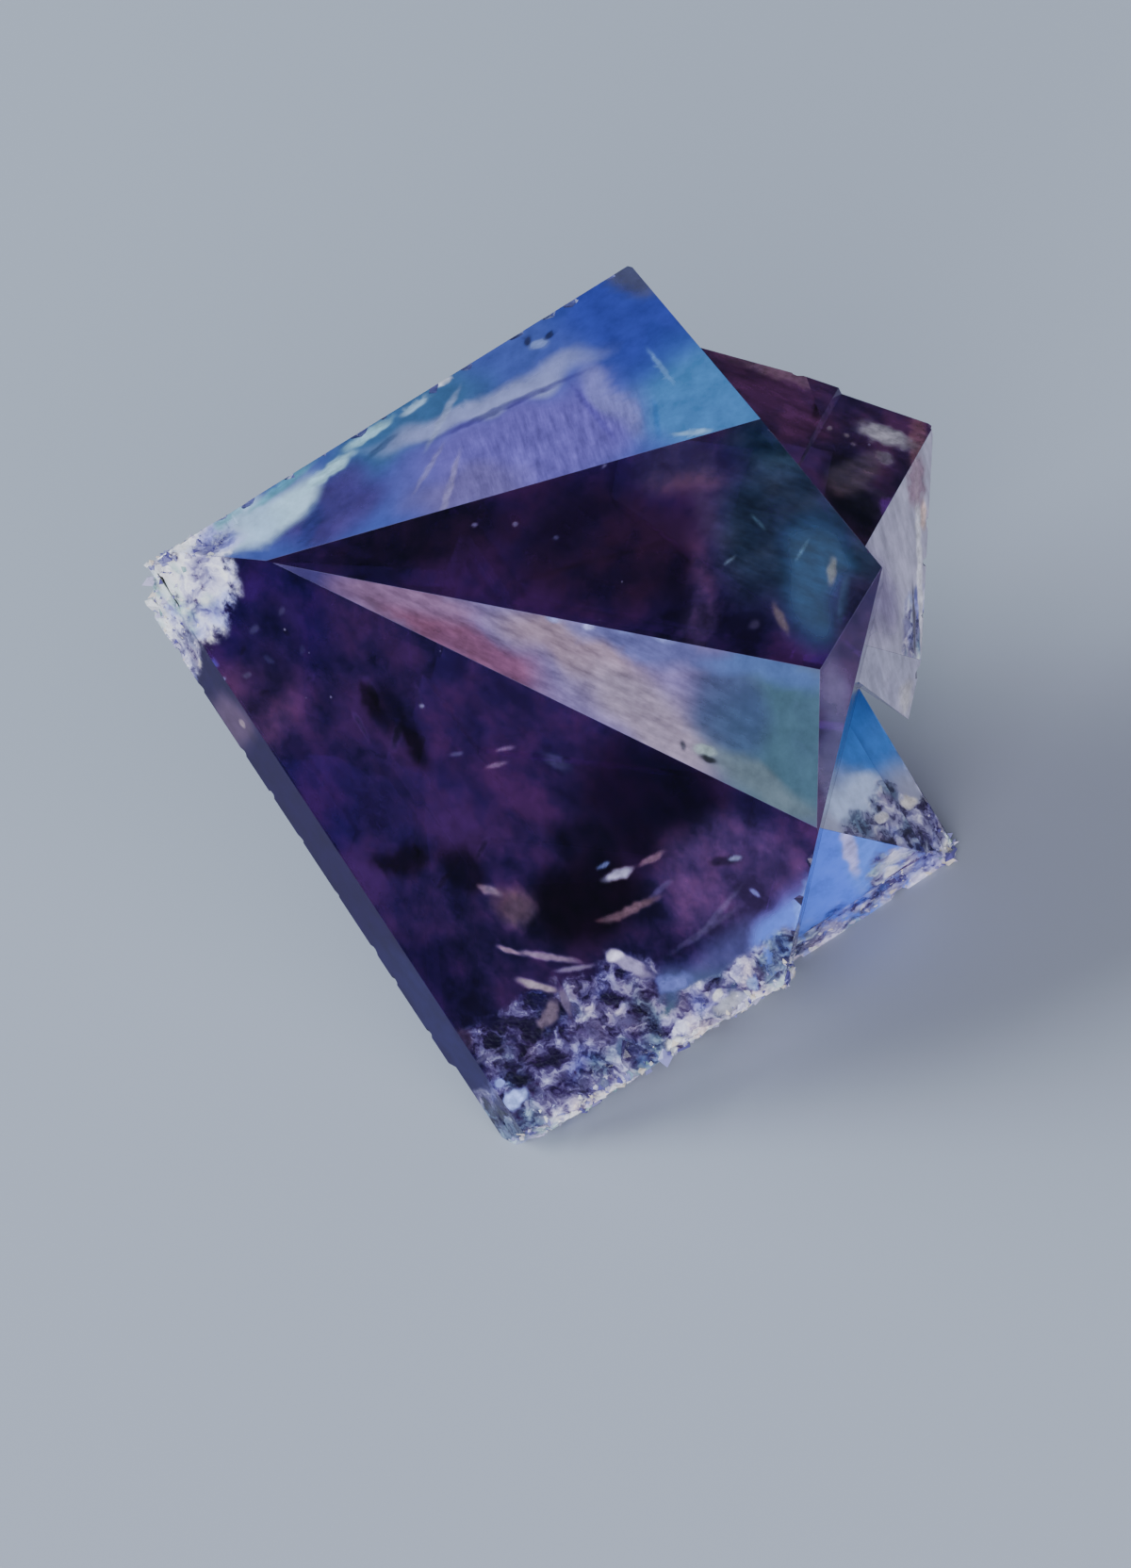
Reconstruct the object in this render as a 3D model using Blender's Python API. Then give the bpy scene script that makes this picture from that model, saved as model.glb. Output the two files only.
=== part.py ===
"""Fluorite crystal group: one large, unevenly grown octahedron with a second one grown through its upper right side.

The group lies on one of the octahedron's back faces. Z is up, the origin is on that lying face, straight below the
middle of the octahedron, and the front of the crystal looks towards -Y and up.

Faces are given the way a crystal drawing gives them, by a direction and a distance from the middle. They are measured
in the crystal's own front frame: u to the right, v up and w out of the front. A direction is a clock angle (from u
towards v) and a tilt away from w. The solid is made of blanks cut by those faces and grown into each other; then
cleavage ledges and edge chips are taken out of it.
"""

import math
import random

import bmesh
import bpy
from mathutils import Matrix, Vector

MM = 0.001
BLANK = 90 * MM
CHIP_SEED = 7

# An octahedron's face leans 54.7 degrees away from its four-fold axis.
FRONT_TILT = math.degrees(math.atan(math.sqrt(2)))
BACK_TILT = 180 - FRONT_TILT

# Clock angles of the sides of the outline, seen from the front.
UPPER_LEFT = 121.8
LOWER_LEFT = 213.4
LOWER_RIGHT = -56.7
UPPER_RIGHT = 38.2
OUTER_RIGHT = 30.9
RIGHT_WALL = -13.6

# Every face is (clock angle, tilt, distance from the middle in mm).
LYING_FACE = (LOWER_RIGHT, BACK_TILT, 9.92)
BACK_UPPER_LEFT = (UPPER_LEFT, BACK_TILT, 9.85)
BACK_LOWER_LEFT = (LOWER_LEFT, BACK_TILT, 9.0)
BACK_UPPER_RIGHT = (UPPER_RIGHT, BACK_TILT, 8.7)
GIRDLE_UPPER_LEFT = (UPPER_LEFT, 90, 10.88)
GIRDLE_LOWER_RIGHT = (LOWER_RIGHT, 90, 11.05)
UPPER_FACET = (UPPER_LEFT, 49.0, 8.14)
MIDDLE_FACET = (135.5, 32.8, 7.18)
WEDGE_FACET = (192.6, 30.6, 5.9)
LOWER_FACET = (LOWER_LEFT, 42.3, 4.98)
LEFT_BEVEL = (LOWER_LEFT, 68.0, 7.36)
NARROW_FACET = (-15.7, 28.8, 13.9)
RIGHT_BREAK = (RIGHT_WALL, 88.0, 9.17)
UPPER_BREAK = (UPPER_RIGHT, 90, 10.67)

SHARED_FACES = (LYING_FACE, BACK_UPPER_LEFT, BACK_LOWER_LEFT, GIRDLE_UPPER_LEFT, GIRDLE_LOWER_RIGHT)

MAIN_BLOCK = (
    UPPER_FACET,
    MIDDLE_FACET,
    WEDGE_FACET,
    LOWER_FACET,
    LEFT_BEVEL,
    NARROW_FACET,
    RIGHT_BREAK,
    UPPER_BREAK,
    BACK_UPPER_RIGHT,
)

CORNER_LOWER = (LOWER_RIGHT, FRONT_TILT, 8.2)
CORNER_UPPER = (OUTER_RIGHT, FRONT_TILT, 6.26)
CORNER_GIRDLE = (OUTER_RIGHT, 90, 8.72)
CORNER_BLOCK = (
    CORNER_LOWER,
    CORNER_UPPER,
    CORNER_GIRDLE,
    (OUTER_RIGHT, BACK_TILT, 8.86),
    (180, 90, -7.0),
)

SECOND_TOP = (68.6, 44.0, 8.31)
SECOND_RIGHT = (-1.7, 63.4, 9.96)
SECOND_BACK_TOP = (73.0, BACK_TILT, 10.79)
SECOND_BACK_RIGHT = (-5.0, BACK_TILT, 9.87)
SECOND_CRYSTAL = (
    (77.2, 41.0, 7.34),
    SECOND_TOP,
    SECOND_RIGHT,
    (-16.7, 63.0, 9.1),
    SECOND_BACK_TOP,
    SECOND_BACK_RIGHT,
    (38.0, 165.0, 8.87),
    (-125.0, 90, -6.27),
    (180, 90, -3.5),
)

# Cleavage ledges of each blank: a face, how deep the ledge is cut below it, the face it runs along, and its width
# from there, both in mm.
MAIN_LEDGES = (
    (BACK_UPPER_LEFT, 0.30, LYING_FACE, 3.4),
    (BACK_UPPER_LEFT, 0.60, BACK_LOWER_LEFT, 1.4),
    (BACK_LOWER_LEFT, 0.35, BACK_UPPER_RIGHT, 2.0),
    (BACK_LOWER_LEFT, 0.30, LYING_FACE, 2.2),
    (BACK_UPPER_RIGHT, 0.45, BACK_LOWER_LEFT, 3.0),
    (BACK_UPPER_RIGHT, 0.30, LYING_FACE, 3.0),
)
CORNER_LEDGES = (
    (CORNER_UPPER, 0.30, CORNER_GIRDLE, 0.9),
    (CORNER_LOWER, 0.35, GIRDLE_LOWER_RIGHT, 0.8),
)
SECOND_LEDGES = (
    (SECOND_TOP, 0.25, SECOND_RIGHT, 2.6),
)

# Chipped edges: the two faces that meet there, the face at each end, the number of chips, and the smallest and
# largest chip radius in mm.
CHIPPED_EDGES = (
    (LYING_FACE, GIRDLE_LOWER_RIGHT, LEFT_BEVEL, CORNER_GIRDLE, 26, 0.35, 0.9),
    (LOWER_FACET, GIRDLE_LOWER_RIGHT, LEFT_BEVEL, RIGHT_BREAK, 22, 0.4, 1.6),
    (CORNER_LOWER, GIRDLE_LOWER_RIGHT, RIGHT_BREAK, CORNER_GIRDLE, 9, 0.4, 0.9),
    (CORNER_UPPER, CORNER_GIRDLE, GIRDLE_LOWER_RIGHT, SECOND_RIGHT, 5, 0.25, 0.6),
    (LEFT_BEVEL, BACK_LOWER_LEFT, GIRDLE_LOWER_RIGHT, GIRDLE_UPPER_LEFT, 12, 0.2, 0.35),
    (UPPER_FACET, GIRDLE_UPPER_LEFT, LEFT_BEVEL, UPPER_BREAK, 13, 0.2, 0.4),
    (BACK_UPPER_LEFT, GIRDLE_UPPER_LEFT, BACK_LOWER_LEFT, UPPER_BREAK, 7, 0.3, 0.6),
    (MIDDLE_FACET, UPPER_BREAK, UPPER_FACET, NARROW_FACET, 4, 0.15, 0.3),
    (LOWER_FACET, RIGHT_BREAK, NARROW_FACET, GIRDLE_LOWER_RIGHT, 4, 0.2, 0.4),
    (SECOND_TOP, SECOND_BACK_TOP, SECOND_RIGHT, UPPER_BREAK, 5, 0.25, 0.5),
    (SECOND_RIGHT, SECOND_BACK_RIGHT, SECOND_TOP, (-125.0, 90, -6.27), 5, 0.2, 0.45),
    (BACK_UPPER_LEFT, BACK_LOWER_LEFT, LEFT_BEVEL, LYING_FACE, 6, 0.3, 0.7),
    (BACK_UPPER_RIGHT, BACK_UPPER_LEFT, LYING_FACE, UPPER_BREAK, 5, 0.3, 0.7),
)

# Single larger breaks: three faces that meet at a corner, the radius and how far the middle stands off, in mm.
BROKEN_CORNERS = (
    ((GIRDLE_LOWER_RIGHT, CORNER_GIRDLE, LYING_FACE), 1.1, 0.7),
    ((BACK_UPPER_LEFT, BACK_LOWER_LEFT, LYING_FACE), 1.5, 0.9),
    ((LEFT_BEVEL, GIRDLE_LOWER_RIGHT, LYING_FACE), 0.8, 0.5),
    ((SECOND_TOP, SECOND_RIGHT, SECOND_BACK_TOP), 0.7, 0.4),
    ((LEFT_BEVEL, GIRDLE_UPPER_LEFT, BACK_UPPER_LEFT), 0.6, 0.4),
)


def direction(clock, tilt):
    """Unit vector in the front frame for a clock angle and a tilt, in degrees."""
    clock = math.radians(clock)
    tilt = math.radians(tilt)
    return Vector((math.sin(tilt) * math.cos(clock), math.sin(tilt) * math.sin(clock), math.cos(tilt)))


def meeting_point(*three_faces):
    """The point, in metres, where three faces meet."""
    normals = Matrix([direction(clock, tilt) for clock, tilt, reach in three_faces])
    reaches = Vector([reach * MM for clock, tilt, reach in three_faces])
    return normals.inverted() @ reaches


def lying_place():
    """Turns the front frame so that the lying face is level and underneath, and lifts it to Z = 0."""
    clock, tilt, reach = LYING_FACE
    up = -direction(clock, tilt)
    front = direction(0, 0)
    back = (up * front.dot(up) - front).normalized()
    right = back.cross(up)
    turn = Matrix((right, back, up)).to_4x4()
    return Matrix.Translation((0, 0, reach * MM)) @ turn


def shell(faces):
    """A closed convex bmesh: a blank cut by every face in turn."""
    cutting = bmesh.new()
    bmesh.ops.create_cube(cutting, size=BLANK)
    for clock, tilt, reach in faces:
        normal = direction(clock, tilt)
        cut = bmesh.ops.bisect_plane(
            cutting,
            geom=cutting.verts[:] + cutting.edges[:] + cutting.faces[:],
            plane_co=normal * reach * MM,
            plane_no=normal,
            clear_outer=True,
        )
        rim = [part for part in cut["geom_cut"] if isinstance(part, bmesh.types.BMEdge)]
        if rim:
            bmesh.ops.contextual_create(cutting, geom=rim)
    bmesh.ops.recalc_face_normals(cutting, faces=cutting.faces)
    return cutting


def new_object(name, shape, collection):
    mesh = bpy.data.meshes.new(name)
    shape.to_mesh(mesh)
    shape.free()
    item = bpy.data.objects.new(name, mesh)
    collection.objects.link(item)
    return item


def facing_away(face, depth):
    """The face moved in by depth and turned round, so that a blank keeps what lies outside it."""
    clock, tilt, reach = face
    return (clock + 180, 180 - tilt, depth - reach)


def add_shape(target, shape):
    """Adds one bmesh to another and frees it."""
    mesh = bpy.data.meshes.new("shape")
    shape.to_mesh(mesh)
    shape.free()
    target.from_mesh(mesh)
    bpy.data.meshes.remove(mesh)


def ledge_cutter(name, ledges, collection):
    """Slabs outside a face and outside its neighbour: each leaves a step that runs parallel to their shared edge."""
    cutter = bmesh.new()
    for face, depth, neighbour, width in ledges:
        add_shape(cutter, shell((facing_away(face, depth), facing_away(neighbour, width))))
    return new_object(name, cutter, collection)


def chip(cutter, centre, radius, rng):
    """One angular chip: an icosahedron, squashed, turned and unevenly pulled."""
    turn = Matrix.Rotation(rng.uniform(0, math.tau), 4, "X") @ Matrix.Rotation(rng.uniform(0, math.tau), 4, "Z")
    squash = Matrix.Diagonal((rng.uniform(0.9, 1.5), rng.uniform(0.8, 1.1), rng.uniform(0.55, 0.9), 1))
    made = bmesh.ops.create_icosphere(
        cutter,
        subdivisions=1,
        radius=radius * MM,
        matrix=Matrix.Translation(centre) @ turn @ squash,
    )
    for corner in made["verts"]:
        corner.co += (corner.co - centre) * rng.uniform(-0.2, 0.25)


def edge_chips(cutter, edge, rng):
    """Chips spread unevenly along one edge, each with its middle a little outside the crystal."""
    face_a, face_b, start_face, end_face, count, smallest, largest = edge
    start = meeting_point(face_a, face_b, start_face)
    end = meeting_point(face_a, face_b, end_face)
    outward = (direction(face_a[0], face_a[1]) + direction(face_b[0], face_b[1])).normalized()
    for number in range(count):
        along = (number + rng.uniform(0.15, 0.85)) / count
        radius = smallest + (largest - smallest) * rng.random() ** 2
        centre = start.lerp(end, along) + outward * radius * MM * rng.uniform(0.35, 0.6)
        chip(cutter, centre, radius, rng)


def corner_chip(cutter, faces, radius, stand_off, rng):
    outward = sum((direction(clock, tilt) for clock, tilt, reach in faces), Vector()).normalized()
    chip(cutter, meeting_point(*faces) + outward * stand_off * MM, radius, rng)


def chip_cutter(collection):
    rng = random.Random(CHIP_SEED)
    cutter = bmesh.new()
    for edge in CHIPPED_EDGES:
        edge_chips(cutter, edge, rng)
    for faces, radius, stand_off in BROKEN_CORNERS:
        corner_chip(cutter, faces, radius, stand_off, rng)
    return new_object("edge chips", cutter, collection)


def combine(target, tool, operation):
    """Adds a live Boolean of the tool to the target. A tool's own pieces may overlap each other."""
    step = target.modifiers.new(f"{operation.lower()} {tool.name}", "BOOLEAN")
    step.operation = operation
    step.solver = "EXACT"
    step.use_self = True
    step.object = tool
    tool.hide_render = True
    tool.display_type = "WIRE"


def fluorite():
    material = bpy.data.materials.new("fluorite")
    material.use_nodes = True
    surface = material.node_tree.nodes["Principled BSDF"]
    surface.inputs["Base Color"].default_value = (0.12, 0.08, 0.28, 1)
    surface.inputs["Roughness"].default_value = 0.08
    surface.inputs["Metallic"].default_value = 0.0
    surface.inputs["IOR"].default_value = 1.434
    surface.inputs["Transmission Weight"].default_value = 0.8
    return material


def main():
    for item in list(bpy.data.objects):
        bpy.data.objects.remove(item)
    crystals = bpy.data.collections.new("fluorite octahedron")
    cutters = bpy.data.collections.new("cutters")
    bpy.context.scene.collection.children.link(crystals)
    bpy.context.scene.collection.children.link(cutters)

    crystal = new_object("fluorite_crystal", shell(MAIN_BLOCK), crystals)
    crystal.data.materials.append(fluorite())
    corner = new_object("corner block", shell(CORNER_BLOCK), cutters)
    second = new_object("second crystal", shell(SECOND_CRYSTAL), cutters)
    shared = new_object("shared faces", shell(SHARED_FACES), cutters)
    main_ledges = ledge_cutter("main ledges", MAIN_LEDGES, cutters)
    corner_ledges = ledge_cutter("corner ledges", CORNER_LEDGES, cutters)
    second_ledges = ledge_cutter("second ledges", SECOND_LEDGES, cutters)
    chips = chip_cutter(cutters)
    combine(crystal, main_ledges, "DIFFERENCE")
    combine(corner, corner_ledges, "DIFFERENCE")
    combine(second, second_ledges, "DIFFERENCE")
    combine(crystal, corner, "UNION")
    combine(crystal, second, "UNION")
    combine(crystal, shared, "INTERSECT")
    combine(crystal, chips, "DIFFERENCE")
    for item in crystals.objects[:] + cutters.objects[:]:
        item.matrix_world = lying_place()


main()
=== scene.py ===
"""Looks of a fluorite octahedron: clear purple and blue crystal, worn edges, crushed rim, healed fractures.

Places on the crystal are given in its own front frame, in millimetres: u to the right, v up and w out of
the front. The front frame leans back, because the crystal lies on one of its back faces.
"""

import cmath
import math
import random

import bmesh
import bpy
from bpy.props import FloatProperty, FloatVectorProperty, IntProperty, PointerProperty
from bpy.types import Operator, Panel, PropertyGroup
from mathutils import Matrix, Vector, noise


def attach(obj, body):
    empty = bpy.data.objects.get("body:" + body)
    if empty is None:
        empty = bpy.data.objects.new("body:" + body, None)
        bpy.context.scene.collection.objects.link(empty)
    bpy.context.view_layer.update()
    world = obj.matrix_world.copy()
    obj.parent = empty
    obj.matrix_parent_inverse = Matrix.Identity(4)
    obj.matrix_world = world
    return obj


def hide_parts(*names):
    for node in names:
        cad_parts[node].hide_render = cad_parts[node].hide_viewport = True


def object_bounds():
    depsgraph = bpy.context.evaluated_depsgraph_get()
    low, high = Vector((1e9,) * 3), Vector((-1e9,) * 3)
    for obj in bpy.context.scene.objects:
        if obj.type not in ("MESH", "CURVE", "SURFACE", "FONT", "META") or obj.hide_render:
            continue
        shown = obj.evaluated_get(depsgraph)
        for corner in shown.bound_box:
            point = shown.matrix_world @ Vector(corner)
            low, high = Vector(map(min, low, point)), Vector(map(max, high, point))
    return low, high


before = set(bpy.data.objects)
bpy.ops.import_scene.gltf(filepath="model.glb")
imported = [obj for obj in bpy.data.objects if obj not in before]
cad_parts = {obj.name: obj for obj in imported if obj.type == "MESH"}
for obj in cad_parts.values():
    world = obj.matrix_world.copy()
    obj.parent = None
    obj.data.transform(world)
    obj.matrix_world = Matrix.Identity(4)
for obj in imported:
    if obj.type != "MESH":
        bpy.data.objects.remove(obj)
CAD_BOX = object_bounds()

bl_info = {
    "name": "Fluorite Octahedron",
    "version": (1, 0, 0),
    "blender": (4, 5, 0),
    "location": "View3D > Sidebar > Fluorite",
    "description": "Builds a zoned fluorite octahedron with a crushed rim on a plain stage",
    "category": "Add Mesh",
}

MM = 0.001
CRYSTAL_NODE = "fluorite_crystal"
BODY = "root"

# Faces as (clock angle, tilt, distance from the middle in mm), the same as in the solid.
FRONT_TILT = math.degrees(math.atan(math.sqrt(2)))
BACK_TILT = 180 - FRONT_TILT
LYING_FACE = (-56.7, BACK_TILT, 9.92)
FACES = {
    "upper": (121.8, 49.0, 8.14),
    "middle": (135.5, 32.8, 7.18),
    "wedge": (192.6, 30.6, 5.9),
    "lower": (213.4, 42.3, 4.98),
    "narrow": (-15.7, 28.8, 13.9),
    "left bevel": (213.4, 68.0, 7.36),
    "right wall": (-13.6, 88.0, 9.17),
    "upper break": (38.2, 90.0, 10.67),
    "corner upper": (30.9, FRONT_TILT, 6.26),
    "corner lower": (-56.7, FRONT_TILT, 8.2),
    "second front": (77.2, 41.0, 7.34),
    "second top": (68.6, 44.0, 8.31),
    "second right": (-1.7, 63.4, 9.96),
    "second side": (-16.7, 63.0, 9.1),
}
FACE_CODES = {name: code for code, name in enumerate(FACES, start=1)}
BACK_CODE = 0
WORN_HIGHLIGHT_EDGE_CODE = 20
BROKEN_CODE = 21
CHIP_CODE = 100
CHIP_ROUNDS = 6
# Front faces: their sharp edges are painted pale, partly wear and partly a painted highlight along the edge.
PALE_EDGED = {FACE_CODES[name] for name in ("upper", "middle", "wedge", "lower", "narrow")}

# How the solid's faces are told apart: lengths in mm, the area in mm2, angles in degrees.
MERGED_BELOW = 0.002
FLAT_WITHIN = 0.3
SAME_DIRECTION = 0.9995
HIGHEST_ABOVE = 0.03
DEEPEST_LEDGE = 0.7
LARGE_FACE = 3
RISER_SHARE = 0.75
SHORTEST_WORN = 0.6
SHARP_FROM = 8

# Rough ends of the crystal: a direction (clock, tilt) and the distance, in mm, beyond which it is crushed.
CRUSHED_ENDS = {
    "left tip": (165.0, 90.0, 11.0),
    "lower rim": (-56.7, 90.0, 9.6),
    "right corner": (-12.0, 88.0, 11.6),
}
END_PALENESS = {"left tip": 2.0, "lower rim": 2.4, "right corner": 1.4}
ROUGH_EDGE_LENGTH = 0.2
ROUGH_ROUNDS = 2
# How far beyond that distance, in mm, crushing sets in, is at full strength, and is palest.
CRUSHED_FROM = 0.01
FULLY_CRUSHED = 1.4
PALEST_DEPTH = 1.8
# Below this height, in mm, the surface stays flat.
RESTING_HEIGHT = 0.02
# The relief: lumps and flat cells to the millimetre, and how much of each it holds.
LUMPS = 1.3
CELLS = 3.1
MEAN_RELIEF = 0.45
LUMP_RELIEF = 0.9
CELL_RELIEF = 0.35

# Sides of the squares, in mm, that flat faces are cut into to carry their colour zones, the cuts across a
# square under a small patch, and the area of the smallest face that is cut, in mm2.
FRONT_GRID = 0.27
SMALL_CUTS = 4
BACK_GRID = 0.6
SMALLEST_GRIDDED = 0.8


def linear(code, alpha=True):
    """Linear colour of an sRGB hex value."""
    parts = [int(code[place : place + 2], 16) / 255 for place in (1, 3, 5)]
    colour = [part / 12.92 if part <= 0.04045 else ((part + 0.055) / 1.055) ** 2.4 for part in parts]
    return (*colour, 1.0) if alpha else tuple(colour)


def direction(clock, tilt):
    """Unit vector in the front frame for a clock angle and a tilt, in degrees."""
    clock = math.radians(clock)
    tilt = math.radians(tilt)
    return Vector((math.sin(tilt) * math.cos(clock), math.sin(tilt) * math.sin(clock), math.cos(tilt)))


def lying_place():
    """From the front frame to the world, both in metres: the lying face is level and at Z = 0."""
    clock, tilt, reach = LYING_FACE
    up = -direction(clock, tilt)
    front = direction(0, 0)
    back = (up * front.dot(up) - front).normalized()
    right = back.cross(up)
    return Matrix.Translation((0, 0, reach * MM)) @ Matrix((right, back, up)).to_4x4()


TO_WORLD = lying_place()
TO_FRONT = TO_WORLD.inverted()


# ----------------------------
# Settings


class FluoriteShape(PropertyGroup):
    edge_wear: FloatProperty(
        name="Edge wear", description="Width of the worn strip along each sharp edge", default=0.00006,
        unit="LENGTH",
    )
    crush_depth: FloatProperty(
        name="Crush depth", description="Depth of the sugary surface at the ends", default=0.00014,
        unit="LENGTH",
    )
    crumbs: IntProperty(name="Crumbs", description="Cleavage crumbs on the crushed ends", default=1500, min=0)
    crumb_size: FloatProperty(
        name="Crumb size", description="Radius of the largest crumb", default=0.0003, unit="LENGTH"
    )
    seed: IntProperty(name="Seed", description="Start of the random draws", default=11)


class FluoriteLook(PropertyGroup):
    body: FloatVectorProperty(
        name="Body", description="Purple of the clear back faces", subtype="COLOR",
        default=linear("#8C74B8", False),
    )
    body_milk: FloatProperty(
        name="Body milkiness", description="Share of light that the back faces scatter", default=0.12,
        min=0, max=1,
    )
    # Pale worn edges, which also stand for a painted highlight along the front edges.
    worn_edge_and_highlight: FloatVectorProperty(
        name="Worn edge", description="Pale worn edges", subtype="COLOR", default=linear("#8C86B4", False)
    )
    broken: FloatVectorProperty(
        name="Broken", description="Fresh chips and breaks", subtype="COLOR", default=linear("#8E8AA8", False)
    )
    absorbed: FloatVectorProperty(
        name="Absorption colour", description="What the crystal lets through", subtype="COLOR",
        default=(0.55, 0.20, 0.58),
    )
    absorption: FloatProperty(
        name="Absorption density", description="Absorption per metre of crystal", default=155.0, min=0.0
    )
    gloss: FloatProperty(
        name="Roughness", description="Roughness of the clear faces", default=0.05, min=0, max=1
    )


class FluoriteStage(PropertyGroup):
    floor: FloatVectorProperty(
        name="Floor", description="Plain pale floor", subtype="COLOR", default=linear("#A4ACB8", False)
    )
    key_power: FloatProperty(name="Key light", description="Soft light from behind and above", default=3.1)
    fill_power: FloatProperty(name="Fill light", description="Soft light from the front", default=3.3)


# ----------------------------
# Crystal mesh


def merged_copy():
    """The solid's mesh with its loose triangles joined, and flat faces in one piece again."""
    mesh = bmesh.new()
    mesh.from_mesh(bpy.data.objects[CRYSTAL_NODE].data)
    bmesh.ops.remove_doubles(mesh, verts=mesh.verts, dist=MERGED_BELOW * MM)
    bmesh.ops.dissolve_limit(
        mesh, angle_limit=math.radians(FLAT_WITHIN), verts=mesh.verts, edges=mesh.edges,
        use_dissolve_boundaries=False,
    )
    return mesh


def face_code(face):
    """Which named face this is, by its direction and distance. A ledge below it counts as the same face."""
    normal = (TO_FRONT.to_3x3() @ face.normal).normalized()
    middle = TO_FRONT @ face.calc_center_median()
    for name, (clock, tilt, reach) in FACES.items():
        out = direction(clock, tilt)
        below = reach - middle.dot(out) / MM
        if normal.dot(out) > SAME_DIRECTION and -HIGHEST_ABOVE < below < DEEPEST_LEDGE:
            return FACE_CODES[name]
    large = face.calc_area() > LARGE_FACE * MM * MM
    return BACK_CODE if large else BROKEN_CODE


def code_risers(mesh, code):
    """The steps of ledges count as part of the named face along their longest side."""
    for face in [face for face in mesh.faces if face[code] == BROKEN_CODE]:
        beside = [
            (edge.calc_length(), round(other[code]))
            for edge in face.edges
            for other in edge.link_faces
            if round(other[code]) in FACE_CODES.values()
        ]
        if sum(length for length, _ in beside) > RISER_SHARE * sum(edge.calc_length() for edge in face.edges):
            face[code] = max(beside)[1]


def wear_edges(mesh, code, width):
    """A narrow strip along each sharp edge between two clean faces; beside a front face it is pale, a worn
    edge with a painted highlight.
    """
    worn = [
        edge
        for edge in mesh.edges
        if edge.is_manifold
        and edge.calc_length() > SHORTEST_WORN * MM
        and edge.calc_face_angle() > math.radians(SHARP_FROM)
        and all(face[code] != BROKEN_CODE for face in edge.link_faces)
    ]
    made = bmesh.ops.bevel(
        mesh, geom=worn, offset=width, offset_type="OFFSET", affect="EDGES", segments=2, profile=0.5,
        material=-1, clamp_overlap=True,
    )
    strips = set(made["faces"])
    for face in strips:
        beside = {other for edge in face.edges for other in edge.link_faces} - strips
        pale = any(round(other[code]) in PALE_EDGED for other in beside)
        face[code] = WORN_HIGHLIGHT_EDGE_CODE if pale else BACK_CODE


def grid_face(mesh, face, step):
    """Cuts one flat face into squares."""
    normal = face.normal.copy()
    across = normal.orthogonal().normalized()
    geometry = [face, *face.edges, *face.verts]
    for axis in (across, normal.cross(across)):
        reaches = [part.co.dot(axis) for part in geometry if isinstance(part, bmesh.types.BMVert)]
        for number in range(math.ceil(min(reaches) / step), math.ceil(max(reaches) / step)):
            cut = bmesh.ops.bisect_plane(
                mesh, geom=geometry, dist=1e-7, plane_co=axis * number * step, plane_no=axis
            )
            geometry = cut["geom"]


def grid_faces(mesh, code):
    for face in [face for face in mesh.faces if face.calc_area() > SMALLEST_GRIDDED * MM * MM]:
        if face[code] in (WORN_HIGHLIGHT_EDGE_CODE, BROKEN_CODE):
            continue
        grid_face(mesh, face, (BACK_GRID if face[code] == BACK_CODE else FRONT_GRID) * MM)


def refine_small_patches(mesh, code):
    """Cuts the squares under the small colour patches finely, which gives them a crisp outline."""
    names = {number: name for name, number in FACE_CODES.items()}
    fine = []
    for face in mesh.faces:
        name = names.get(round(face[code]))
        place = (TO_FRONT @ face.calc_center_median()) / MM
        middle = complex(place.x, place.y)
        for u, v, length, width, turn, *_ in small_patches(name):
            if within(middle, u, v, length + FRONT_GRID, width + FRONT_GRID, turn, 1.0) > 0:
                fine.append(face)
                break
    edges = {edge for face in fine for edge in face.edges if edge.calc_length() > 0.5 * FRONT_GRID * MM}
    bmesh.ops.subdivide_edges(mesh, edges=list(edges), cuts=SMALL_CUTS, use_grid_fill=True)


def beyond(point, end):
    """How far a world point lies beyond the start of a crushed end, in metres."""
    clock, tilt, reach = end
    return (TO_FRONT @ point).dot(direction(clock, tilt)) - reach * MM


def crush_end(mesh, crushed, end, paleness, depth):
    """Cuts the surface finely beyond a plane, and pushes it in unevenly there."""
    for _ in range(ROUGH_ROUNDS):
        inside = [face for face in mesh.faces if beyond(face.calc_center_median(), end) > 0]
        long = {edge for face in inside for edge in face.edges if edge.calc_length() > ROUGH_EDGE_LENGTH * MM}
        bmesh.ops.subdivide_edges(mesh, edges=list(long), cuts=1)
        inside = [face for face in mesh.faces if beyond(face.calc_center_median(), end) > 0]
        bmesh.ops.triangulate(mesh, faces=[face for face in inside if len(face.verts) > 3])
    mesh.normal_update()
    moves = {}
    for corner in mesh.verts:
        ahead = beyond(corner.co, end)
        if ahead > CRUSHED_FROM * MM:
            strength = min(1.0, ahead / (FULLY_CRUSHED * MM))
            pale = paleness * min(1.0, ahead / (PALEST_DEPTH * MM)) ** 2
            corner[crushed] = max(corner[crushed], Vector((strength, pale, 0.0)), key=lambda value: value[0])
            if corner.co.z > RESTING_HEIGHT * MM:
                place = corner.co / MM
                lumps = LUMP_RELIEF * noise.noise(place * LUMPS)
                cells = CELL_RELIEF * (noise.cell(place * CELLS) - 0.5)
                inward = max(0.0, MEAN_RELIEF + lumps + cells)
                moves[corner] = corner.normal * -depth * strength * inward
    for corner, move in moves.items():
        corner.co += move


def chip_neighbours(mesh, code):
    """For each chipped or broken face, the code of the named face that it lies next to."""
    known = {face: round(face[code]) for face in mesh.faces if round(face[code]) in FACE_CODES.values()}
    waiting = [face for face in mesh.faces if round(face[code]) == BROKEN_CODE]
    for _ in range(CHIP_ROUNDS):
        for face in waiting:
            if face not in known:
                beside = [known[other] for edge in face.edges for other in edge.link_faces if other in known]
                if beside:
                    known[face] = min(beside)
    return {face.index: known[face] for face in waiting if face in known}


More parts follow.
